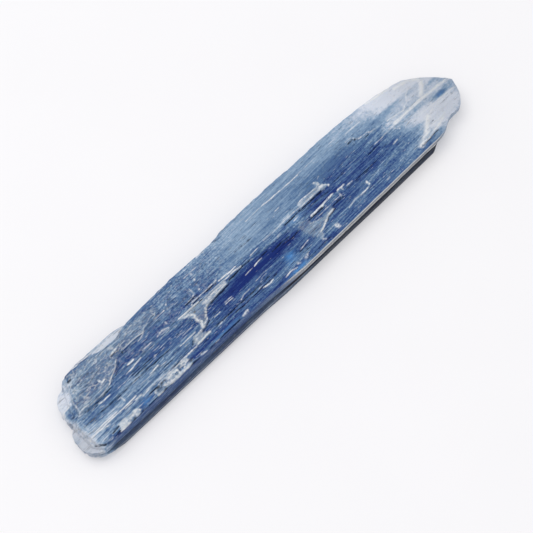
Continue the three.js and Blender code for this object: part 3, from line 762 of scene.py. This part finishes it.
def calm_zones(x, y):
    """Where the colour is calmer: the silver half and the stub, the mottle, and the contrast left by them.
    The silver half's paler, calmer blue is partly painted sheen.
    """
    silver = smooth((y - 0.7) / 0.8) * smooth((x + 15 - 0.8 * y) / 10)
    stub = smooth((-42.3 - x) / 1.0)
    far_mottle = 0.36 * smooth((y - 0.6) / 0.8) * smooth((-2 - x) / 10)
    mottle = np.maximum(far_mottle, 0.32 * smooth((x - 18) / 10))
    contrast = 1 - 0.58 * silver - 0.60 * smooth((x - 24 + 0.3 * y) / 11) - 0.45 * stub
    return silver, stub, mottle, contrast - 0.6 * mottle * (1 - silver)


def side_masks(x, z, steep):
    """The shares of the overhang's and the bevel's bands of painted light and shade on the steep side, each
    with a ragged end.
    """
    seed = SEEDS["side_bands"]
    towards_tip = smooth((x + 4.5 + 9 * (grain(x, z, 9, 0.45, seed) - 0.5)) / 7)
    before_tip = smooth((35.5 - x - 4 * (grain(x, z, 4, 0.4, seed + 1) - 0.5)) / 2)
    corner = smooth((x + 42.6) / 2.2)
    return steep * towards_tip * before_tip, steep * (1 - smooth((x + 1) / 5)) * corner


def colour_fields(x, y, z, drop, upward, steep):
    """The fields that the finish reads, each a number per point, as sums of spindles, lines and bands.

    upward is 1 on the upper face and 0 elsewhere, where its marks give way to grain. steep is 1 on the
    steep side. drop is the depth below the upper face.

    blue: the depth of the blue. contrast: how much the grain varies it. mottle: how much fine blotches do.
    frost_and_highlight, stain, dark: the shares of splintered crystal and painted highlights, of stained
    crystal,
    and of painted shade. flecks: how close together the short splinters and chinks lie. crackle: where fine
    cracks show. clear: how clear the crystal is.
    sky: the light from within. overhang, bevel: the shares of the steep side's bands of painted light and
    shade.
    """
    silver, stub, mottle, contrast = calm_zones(x, y)
    tip = smooth((x - 29 + 0.4 * y) / 8)

    seed = SEEDS["zones"]
    zones = 0.24 * (grain(x, y, 26, 1.8, seed) - 0.5) + 0.14 * (grain(x, y, 9, 0.6, seed + 1) - 0.5)
    blue = 0.585 + zones * (1 - 0.4 * upward) + upward * spindles(x, y, STREAKS)
    # Paler over the silver half, partly as painted sheen of the soft light over the crystal's own grey-blue,
    # and paler at the tip and the stub.
    blue = blue - 0.185 * silver - 0.16 * smooth((x - 27 + 0.5 * y) / 12) - 0.26 * stub
    blue = blue + 0.42 * contrast * lath_heights(x, y + 0.7 * z)
    blue = blue - (1 - upward) * (0.25 * smooth((x - 33) / 4) + 0.28 * smooth((-39 - x) / 4))

    frost_and_highlight = upward * ragged_lines(x, y, SPLINTER_AND_HIGHLIGHT_LINES, SEEDS["white_lines"])
    frost_and_highlight = np.maximum(frost_and_highlight, 0.9 * (spindles(x, y, CORNER_CHIP) * smooth((z - 2.0) / 0.4)))
    block = upward * on_high_block(x, y, 0.3)
    blue = blue - 0.10 * block
    stain = 0.22 * block
    for bluer, whiter, browner, outline in PALE_PLATES:
        depth = frayed_depth(x, y, outline, 0.3, SEEDS["pale_plates"])
        inside = upward * smooth(depth / 0.12 + 0.5)
        blue = blue + bluer * inside
        frost_and_highlight = np.maximum(frost_and_highlight, whiter * inside)
        stain = stain + browner * inside

    seed = SEEDS["crumbs"]
    crumbs = upward * crumbled(x, y)
    crumb_tone = 0.55 * grain(x, y, 1.1, 0.5, seed) + 0.45 * grain(x, y, 0.4, 0.3, seed + 1)
    frost_and_highlight = np.maximum(frost_and_highlight, crumbs * (0.10 + 0.48 * smooth((crumb_tone - 0.36) / 0.3)))
    stain = stain + 0.15 * crumbs
    blue = blue - 0.20 * crumbs

    cracked = 0.3 * smooth((-2 - x) / 8) + 0.7 * block
    dark = upward * ragged_lines(x, y, DARK_LINES, SEEDS["dark_lines"])
    flecks = 0.35 + 0.4 * smooth((-8 - x) / 12)
    flecks = flecks * (1 - 0.5 * silver - 0.5 * tip - 0.6 * stub)
    overhang, bevel = side_masks(x, z, steep)
    return {
        "blue": blue,
        "contrast": contrast,
        "mottle": mottle,
        "frost_and_highlight": frost_and_highlight,
        "stain": stain,
        "dark": dark + 0.6 * crumbs * smooth((0.34 - crumb_tone) / 0.1),
        "flecks": flecks - 0.5 * smooth((blue - 0.72) / 0.25),
        "crackle": smooth((y - 0.5) / 0.5) * smooth((6.2 - y) / 0.4) * cracked,
        "clear": smooth((x - 30) / 11) + smooth((-42.4 - x) / 1.0),
        "sky": spindles(x, y, SKY_SPOTS) * upward,
        "drop": drop,
        "overhang": overhang,
        "bevel": bevel,
    }


def fitted(values, low, high):
    """Values stretched along a straight line so that their least is low and their greatest is high."""
    return low + (values - values.min()) * (high - low) / (values.max() - values.min())


def new_mesh_object(name, points, quads, fields):
    """A smooth-shaded mesh with creases past 28 degrees, one float attribute for each field."""
    mesh = bpy.data.meshes.new(name)
    mesh.from_pydata(points, [], quads)
    for field, values in fields.items():
        attribute = mesh.attributes.new(field, "FLOAT", "POINT")
        attribute.data.foreach_set("value", values.astype(np.float32))
    mesh.shade_smooth()
    mesh.set_sharp_from_angle(angle=math.radians(28))
    if mesh.validate():
        raise RuntimeError(f"the mesh of {name} had faults")
    made = bpy.data.objects.new(name, mesh)
    bpy.context.scene.collection.objects.link(made)
    return made


# ------------------------------------------------------------------ finishes

# Patterns of the finish: cell length and width in millimetres, detail, and a shift that sets each apart.
GRAIN_PATTERNS = {
    "strands": (5.0, 0.25, 4, 0.0),
    "hairs": (2.4, 0.12, 2, 1.7),
    "zones": (16.0, 1.2, 3, 3.1),
    "dashes": (1.3, 0.14, 1, 7.7),
    "chinks": (1.7, 0.15, 1, 4.4),
    "specks": (0.35, 0.30, 3, 5.3),
    "breaks": (0.16, 1.3, 2, 9.9),
}
# How much each pattern deepens the blue.
GRAIN_DEPTH = {"strands": 0.80, "hairs": 0.72, "zones": 0.38, "specks": 0.50, "breaks": -0.25}
# Length and width of the cells whose borders are the fine cracks.
CRACK_CELLS = (2.4, 0.6)
# The bands down the steep side, of painted light and shade: how far below the upper face, colour, and how far
# it hides the crystal's.
SIDE_HEIGHT = 4.4
# Under the overhang: the crown's cream fractured edge and a lower blade's edge, both painted lighter as lit
# edges,
# then painted shade in the undercut, over the crystal's own dark colour seen edge-on.
OVERHANG_LIT_AND_SHADED_BANDS = (
    (0.0, "#dcd9d2", 0.85), (0.22, "#e2dfd7", 0.9), (0.42, "#9c9c9c", 0.85), (0.85, "#8f9094", 0.85),
    (1.1, "#c9c6c0", 0.9), (1.3, "#f6f3ec", 0.95), (1.5, "#d5d2cb", 0.92), (1.66, "#28272c", 0.95),
    (2.3, "#151418", 0.97), (2.9, "#1a191e", 0.95), (4.4, "#1d1c22", 0.9),
)  # fmt: skip
# On the bevel: the crystal's blue, painted shade in the groove, a lower blade's pale edge, then painted shade
# along the foot.
BEVEL_SHADED_BANDS = (
    (0.0, "#2f4684", 0.5), (1.2, "#2a3d70", 0.65), (2.0, "#2f3b5c", 0.65), (2.3, "#404554", 0.78),
    (2.6, "#434754", 0.8), (2.75, "#85888f", 0.6), (2.95, "#6a6d78", 0.6), (3.15, "#2a2e3c", 0.75),
    (4.4, "#2e3344", 0.75),
)  # fmt: skip


def node(tree, kind, inputs=None, **settings):
    """Adds a node with its settings.

    Each input is a value, an output of another node, or another node, whose first output is linked.
    """
    made = tree.nodes.new(kind)
    for name, value in settings.items():
        setattr(made, name, value)
    for key, value in (inputs or {}).items():
        if isinstance(value, bpy.types.Node):
            value = value.outputs[0]
        if isinstance(value, bpy.types.NodeSocket):
            tree.links.new(value, made.inputs[key])
        else:
            made.inputs[key].default_value = value
    return made


def set_stops(ramp, stops):
    """Gives a colour ramp its stops, each a place from 0 to 1 and a colour with its alpha."""
    while len(ramp.elements) < len(stops):
        ramp.elements.new(0.5)
    for element, (position, colour) in zip(ramp.elements, stops):
        element.position = position
        element.color = colour


def grain_patterns(tree, place):
    """Noise drawn out along the blades, one for each of GRAIN_PATTERNS."""
    pattern = {}
    for name, (length, width, detail, shift) in GRAIN_PATTERNS.items():
        scale = (1 / length / MM, 1 / width / MM, 1 / width / MM)
        drawn_out = {"Vector": place, "Location": (shift, shift, shift), "Scale": scale}
        cells = node(tree, "ShaderNodeMapping", drawn_out)
        pattern[name] = node(tree, "ShaderNodeTexNoise", {"Vector": cells, "Scale": 1.0, "Detail": detail})
    return pattern


def blue_skin(tree, colours, field, pattern, wander):
    """The crystal's own colour, from pale to deep by the depth of its blue.

    The depth is its field, plus the patterns, each about its middle, in proportion to the contrast, plus
    fine blotches in proportion to the mottle.
    """
    grained = 0.0
    for name, depth in GRAIN_DEPTH.items():
        above = node(tree, "ShaderNodeMath", {0: pattern[name], 1: 0.5}, operation="SUBTRACT")
        deeper = {0: above, 1: depth, 2: grained}
        grained = node(tree, "ShaderNodeMath", deeper, operation="MULTIPLY_ADD")
    blotch = {0: pattern["specks"], 1: 0.8, 2: wander}
    blotch = node(tree, "ShaderNodeMath", blotch, operation="MULTIPLY_ADD")
    blotch = node(tree, "ShaderNodeMath", {0: blotch, 1: 0.9}, operation="SUBTRACT")
    level = {0: blotch, 1: field["mottle"], 2: field["blue"]}
    level = node(tree, "ShaderNodeMath", level, operation="MULTIPLY_ADD")
    level = {0: grained, 1: field["contrast"], 2: level}
    level = node(tree, "ShaderNodeMath", level, operation="MULTIPLY_ADD")
    ramp = node(tree, "ShaderNodeValToRGB", {"Fac": level})
    stops = (
        (0.0, (*colours.pale, 1)),
        (0.27, (*colours.silver, 1)),
        (0.5, (*colours.steel, 1)),
        (0.75, (*colours.royal, 1)),
        (1.0, (*colours.deep, 1)),
    )
    set_stops(ramp.color_ramp, stops)
    return ramp.outputs[0]


def vein_share(tree, place, field, wander):
    """A broken net of fine white cracks, where the field of crackle is high: the borders of bent cells."""
    length, width = CRACK_CELLS
    scale = (1 / length / MM, 1 / width / MM, 1 / width / MM)
    cells = node(tree, "ShaderNodeMapping", {"Vector": place, "Scale": scale})
    bent = {0: wander.outputs[1], 1: (0.5, 1.5, 1.5), 2: cells}
    bent = node(tree, "ShaderNodeVectorMath", bent, operation="MULTIPLY_ADD")
    border = {"Vector": bent, "Scale": 1.0}
    border = node(tree, "ShaderNodeTexVoronoi", border, feature="DISTANCE_TO_EDGE")
    vein = node(tree, "ShaderNodeMapRange", {0: border, 1: 0.02, 2: 0.12, 3: 0.55, 4: 0.0})
    kept = node(tree, "ShaderNodeMapRange", {0: wander, 1: 0.42, 2: 0.58, 3: 0.0, 4: 1.0})
    kept = node(tree, "ShaderNodeMath", {0: kept, 1: field["crackle"]}, operation="MULTIPLY")
    return node(tree, "ShaderNodeMath", {0: vein, 1: kept}, operation="MULTIPLY")


def shade_share(tree, field, pattern, rough):
    """How far a point lies in shade: cracks where dark is high, and short chinks where flecks are."""
    chink = {0: field["flecks"], 1: 0.10, 2: pattern["chinks"]}
    chink = node(tree, "ShaderNodeMath", chink, operation="MULTIPLY_ADD")
    chink = node(tree, "ShaderNodeMapRange", {0: chink, 1: 0.68, 2: 0.77, 3: 0.0, 4: 0.6})
    crack = node(tree, "ShaderNodeMath", {0: field["dark"], 1: rough}, operation="ADD")
    crack = node(tree, "ShaderNodeMapRange", {0: crack, 1: 0.15, 2: 0.75, 3: 0.0, 4: 0.88})
    return node(tree, "ShaderNodeMath", {0: crack, 1: chink}, operation="MAXIMUM")


def white_share(tree, field, pattern, torn, vein):
    """How white a point is: splinters and painted highlights where frost_and_highlight is high, short dashes
    where flecks are, and veins.
    """
    dash = {0: field["flecks"], 1: 0.12, 2: pattern["dashes"]}
    dash = node(tree, "ShaderNodeMath", dash, operation="MULTIPLY_ADD")
    dash = node(tree, "ShaderNodeMapRange", {0: dash, 1: 0.72, 2: 0.80, 3: 0.0, 4: 0.45})
    splinter = node(tree, "ShaderNodeMath", {0: torn, 1: field["frost_and_highlight"]}, operation="MULTIPLY")
    splinter = node(tree, "ShaderNodeMapRange", {0: splinter, 1: 0.1, 2: 0.75, 3: 0.0, 4: 0.95})
    white = node(tree, "ShaderNodeMath", {0: splinter, 1: dash}, operation="MAXIMUM")
    return node(tree, "ShaderNodeMath", {0: white, 1: vein}, operation="MAXIMUM")


def side_light_and_shade_bands(tree, skin, field, pattern, rough):
    """The skin under the steep side's bands of painted light and shade, by the drop below the upper face,
    with ragged edges.
    """
    level = {0: rough, 1: 0.45, 2: field["drop"]}
    level = node(tree, "ShaderNodeMath", level, operation="MULTIPLY_ADD")
    level = node(tree, "ShaderNodeMath", {0: level, 1: SIDE_HEIGHT}, operation="DIVIDE")
    streaked = node(tree, "ShaderNodeMapRange", {0: pattern["hairs"], 1: 0.35, 2: 0.6, 3: 1.0, 4: 0.8})
    for mask, bands in (("bevel", BEVEL_SHADED_BANDS), ("overhang", OVERHANG_LIT_AND_SHADED_BANDS)):
        band = node(tree, "ShaderNodeValToRGB", {"Fac": level})
        stops = [(drop / SIDE_HEIGHT, (*linear(colour), hides)) for drop, colour, hides in bands]
        set_stops(band.color_ramp, stops)
        share = node(tree, "ShaderNodeMath", {0: band.outputs[1], 1: field[mask]}, operation="MULTIPLY")
        share = node(tree, "ShaderNodeMath", {0: share, 1: streaked}, operation="MULTIPLY")
        skin = node(tree, "ShaderNodeMix", {0: share, 6: skin, 7: band}, data_type="RGBA").outputs[2]
    return skin


def striations(tree, pattern, white, shade):
    """Fine relief along the grain, with white splinters raised and cracks sunk."""
    relief = {0: pattern["strands"], 1: 1.0, 2: pattern["hairs"]}
    relief = node(tree, "ShaderNodeMath", relief, operation="MULTIPLY_ADD")
    for layer, height in ((pattern["specks"], 0.6), (white, 0.6), (shade, -0.7)):
        raised = {0: layer, 1: height, 2: relief}
        relief = node(tree, "ShaderNodeMath", raised, operation="MULTIPLY_ADD")
    return node(tree, "ShaderNodeBump", {"Strength": 0.6, "Distance": 0.09 * MM, "Height": relief})


def bladed_kyanite(colours, names):
    """Kyanite, a blue aluminium silicate, cleaved along its blades and splintered where it broke.

    To the eye it is a clear, glassy stone in which the blue lies in streaks along the grain. Cleavage
    faces have a pearly gloss with fine striations. Fractures are white because they are full of air, and
    the thin tip lets the light in. Its refractive index is 1.72. names are those of the mesh's fields.
    """
    material = bpy.data.materials.new("cleaved_kyanite")
    material.use_nodes = True
    tree = material.node_tree
    tree.nodes.clear()
    place = node(tree, "ShaderNodeTexCoord").outputs["Object"]
    field = {
        name: node(tree, "ShaderNodeAttribute", attribute_name=name).outputs["Fac"] for name in names
    }
    pattern = grain_patterns(tree, place)
    wander = node(tree, "ShaderNodeTexNoise", {"Vector": place, "Scale": 1 / (0.7 * MM), "Detail": 2})
    rough = {0: pattern["strands"], 1: 0.6, 2: pattern["specks"]}
    rough = node(tree, "ShaderNodeMath", rough, operation="MULTIPLY_ADD")
    rough = node(tree, "ShaderNodeMath", {0: rough, 1: 0.8}, operation="SUBTRACT")
    torn = node(tree, "ShaderNodeMath", {0: rough, 1: 3.0, 2: 1.0}, operation="MULTIPLY_ADD")

    vein = vein_share(tree, place, field, wander)
    lit = node(tree, "ShaderNodeMath", {0: torn, 1: field["sky"]}, operation="MULTIPLY")
    shade = shade_share(tree, field, pattern, rough)
    white = white_share(tree, field, pattern, torn, vein)
    stained = node(tree, "ShaderNodeMapRange", {0: pattern["specks"], 1: 0.35, 2: 0.62, 3: 0.15, 4: 0.9})
    stained = node(tree, "ShaderNodeMath", {0: stained, 1: field["stain"]}, operation="MULTIPLY")

    # Each layer lies over the ones before it: light from within, painted shade in cracks and chinks, white
    # splinters with painted highlights, and stain.
    skin = blue_skin(tree, colours, field, pattern, wander)
    layers = (
        (lit, colours.sky),
        (shade, colours.shade),
        (white, colours.frost_and_highlight),
        (stained, colours.stain),
    )
    for share, colour in layers:
        mixed = {0: share, 6: skin, 7: (*colour, 1)}
        skin = node(tree, "ShaderNodeMix", mixed, data_type="RGBA").outputs[2]
    skin = side_light_and_shade_bands(tree, skin, field, pattern, rough)

    gloss = node(tree, "ShaderNodeMapRange", {0: pattern["specks"], 1: 0.3, 2: 0.7, 3: 0.26, 4: 0.42})
    gloss = node(tree, "ShaderNodeMath", {0: white, 1: 0.2, 2: gloss}, operation="MULTIPLY_ADD")
    glow = node(tree, "ShaderNodeMath", {0: field["clear"], 1: 0.25}, operation="MULTIPLY")
    surface = node(
        tree,
        "ShaderNodeBsdfPrincipled",
        {
            "Base Color": skin,
            "Roughness": gloss,
            "IOR": 1.72,
            "Normal": striations(tree, pattern, white, shade),
            "Transmission Weight": glow,
            "Specular IOR Level": 0.06,
            "Subsurface Weight": 0.06,
            "Subsurface Radius": (0.5, 0.7, 1.0),
            "Subsurface Scale": 0.8 * MM,
        },
    )
    node(tree, "ShaderNodeOutputMaterial", {"Surface": surface})
    return material


# The light that falls on the floor, and the share of the floor's own brightness that comes from behind it
# and softens the shadow.
FLOOR_LIGHT = 1.09
FLOOR_GLOW = 0.30


def matt_paper(colour):
    """Matt white paper over a light table: no gloss, and a faint mottle a few centimetres across."""
    colour = tuple(c * (1 - FLOOR_GLOW) for c in colour)
    darker = tuple(0.9 * c for c in colour)
    material = bpy.data.materials.new("matt_paper")
    material.use_nodes = True
    tree = material.node_tree
    tree.nodes.clear()
    place = node(tree, "ShaderNodeTexCoord").outputs["Object"]
    mottle = node(tree, "ShaderNodeTexNoise", {"Vector": place, "Scale": 1 / (30 * MM), "Detail": 3})
    share = node(tree, "ShaderNodeMapRange", {0: mottle, 1: 0.3, 2: 0.7, 3: 0.0, 4: 0.12})
    mixed = {0: share, 6: (*colour, 1), 7: (*darker, 1)}
    tint = node(tree, "ShaderNodeMix", mixed, data_type="RGBA").outputs[2]
    surface = node(
        tree,
        "ShaderNodeBsdfPrincipled",
        {
            "Base Color": tint,
            "Roughness": 0.9,
            "Specular IOR Level": 0.1,
            "Emission Color": tint,
            "Emission Strength": FLOOR_LIGHT * FLOOR_GLOW / (1 - FLOOR_GLOW),
        },
    )
    node(tree, "ShaderNodeOutputMaterial", {"Surface": surface})
    return material


# ------------------------------------------------------------------ pieces


class AddBlades(bpy.types.Operator):
    """Builds the whole cluster of grown-together blades as one closed surface."""

    bl_idname = "kyanite.add_blades"
    bl_label = "Grown-together blades"

    def execute(self, context):
        sizes = context.scene.kyanite_sizes
        u, s, t, quads = block_skin(sizes.along, sizes.across, sizes.through)
        x, y, z = crystal_points(u, s, t, sizes)
        upward = (t >= 1).astype(float)
        steep = (s <= 0).astype(float)
        drop = np.where(t > 0, top_height(x, y, sizes) - z, LOWER_FACE_DROP)
        fields = colour_fields(x, y, z, drop, upward, steep)
        points = np.column_stack(
            (fitted(x, LOW.x, HIGH.x), fitted(y, LOW.y, HIGH.y), fitted(z, LOW.z, HIGH.z))
        )
        blades = new_mesh_object("kyanite_blades", points, quads, fields)
        blades.data.materials.append(bladed_kyanite(context.scene.kyanite_colours, fields))
        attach(blades, "root")
        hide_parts("kyanite_blade_cluster")
        return {"FINISHED"}


# The studio, in metres and watts. The camera's aim and sensor are in millimetres.
FLOOR_REACH = 0.6
ROOM_COLOUR = (0.98, 0.985, 1.0, 1)
ROOM_LIGHT = 0.76
WINDOW_PLACE = (-0.09, 0.11, 0.49)
WINDOW_AIM = (0, 0, 0)
WINDOW_SIZE = 0.40
WINDOW_POWER = 1.14
WINDOW_COLOUR = (1, 0.99, 0.97)
CAMERA_AIM = (-1.60, -1.46, 0)
SENSOR_WIDTH = 36


def new_floor(colour):
    """A square sheet of paper at the level that the cluster rests on."""
    half = FLOOR_REACH
    corners = [(-half, -half, LOW.z), (half, -half, LOW.z), (half, half, LOW.z), (-half, half, LOW.z)]
    mesh = bpy.data.meshes.new("floor")
    mesh.from_pydata(corners, [], [(0, 1, 2, 3)])
    floor = bpy.data.objects.new("floor", mesh)
    floor.data.materials.append(matt_paper(colour))
    bpy.context.scene.collection.objects.link(floor)
    return floor


def new_room(colour, strength):
    """The even light that comes from all round."""
    world = bpy.data.worlds.new("pale_room")
    world.use_nodes = True
    background = world.node_tree.nodes["Background"]
    background.inputs[0].default_value = colour
    background.inputs[1].default_value = strength
    return world


def new_area_light(name, place, aim, size, power, colour):
    """A square soft light of that side, turned to face the aim."""
    light = bpy.data.lights.new(name, "AREA")
    light.energy = power
    light.size = size
    light.color = colour
    made = bpy.data.objects.new(name, light)
    made.location = place
    made.rotation_euler = (Vector(aim) - Vector(place)).to_track_quat("-Z", "Y").to_euler()
    bpy.context.scene.collection.objects.link(made)


def new_camera(studio):
    """A camera turned and raised about its aim, far enough back for its lens to take in the field."""
    turn, rise = studio.azimuth, studio.elevation
    back = Vector((math.sin(turn) * math.cos(rise), -math.cos(turn) * math.cos(rise), math.sin(rise)))
    lens = bpy.data.cameras.new("camera")
    lens.lens = studio.lens
    lens.sensor_width = SENSOR_WIDTH
    lens.clip_start = 0.01
    camera = bpy.data.objects.new("camera", lens)
    camera.location = Vector(CAMERA_AIM) * MM + back * (studio.lens * studio.field / SENSOR_WIDTH)
    camera.rotation_euler = back.to_track_quat("Z", "Y").to_euler()
    bpy.context.scene.collection.objects.link(camera)
    return camera


class AddStudio(bpy.types.Operator):
    """Builds the floor, the soft lights and the camera."""

    bl_idname = "kyanite.add_studio"
    bl_label = "Studio"

    def execute(self, context):
        scene = context.scene
        floor = new_floor(scene.kyanite_studio.floor)
        scene.world = new_room(ROOM_COLOUR, ROOM_LIGHT)
        new_area_light("window", WINDOW_PLACE, WINDOW_AIM, WINDOW_SIZE, WINDOW_POWER, WINDOW_COLOUR)
        scene.camera = new_camera(scene.kyanite_studio)
        scene.view_settings.view_transform = "Standard"
        return {"FINISHED"}


class KyanitePanel(bpy.types.Panel):
    """Lists the pieces and their settings."""

    bl_idname = "VIEW3D_PT_kyanite"
    bl_label = "Kyanite blade cluster"
    bl_space_type = "VIEW_3D"
    bl_region_type = "UI"
    bl_category = "Kyanite"

    def draw(self, context):
        scene = context.scene
        for operator in OPERATORS:
            self.layout.operator(operator.bl_idname)
        for settings in (scene.kyanite_sizes, scene.kyanite_colours, scene.kyanite_studio):
            for name in settings.bl_rna.properties.keys():
                if name not in ("rna_type", "name"):
                    self.layout.prop(settings, name)


OPERATORS = (AddBlades, AddStudio)
CLASSES = (KyaniteSizes, KyaniteColours, KyaniteStudio, *OPERATORS, KyanitePanel)


def register():
    """Adds the settings, operators and panel to Blender."""
    for made in CLASSES:
        bpy.utils.register_class(made)
    bpy.types.Scene.kyanite_sizes = PointerProperty(type=KyaniteSizes)
    bpy.types.Scene.kyanite_colours = PointerProperty(type=KyaniteColours)
    bpy.types.Scene.kyanite_studio = PointerProperty(type=KyaniteStudio)


def unregister():
    """Takes them out again."""
    del bpy.types.Scene.kyanite_studio
    del bpy.types.Scene.kyanite_colours
    del bpy.types.Scene.kyanite_sizes
    for made in reversed(CLASSES):
        bpy.utils.unregister_class(made)


def main():
    """Builds the cluster and the studio."""
    register()
    bpy.ops.kyanite.add_blades()
    bpy.ops.kyanite.add_studio()


if __name__ == "__main__":
    main()
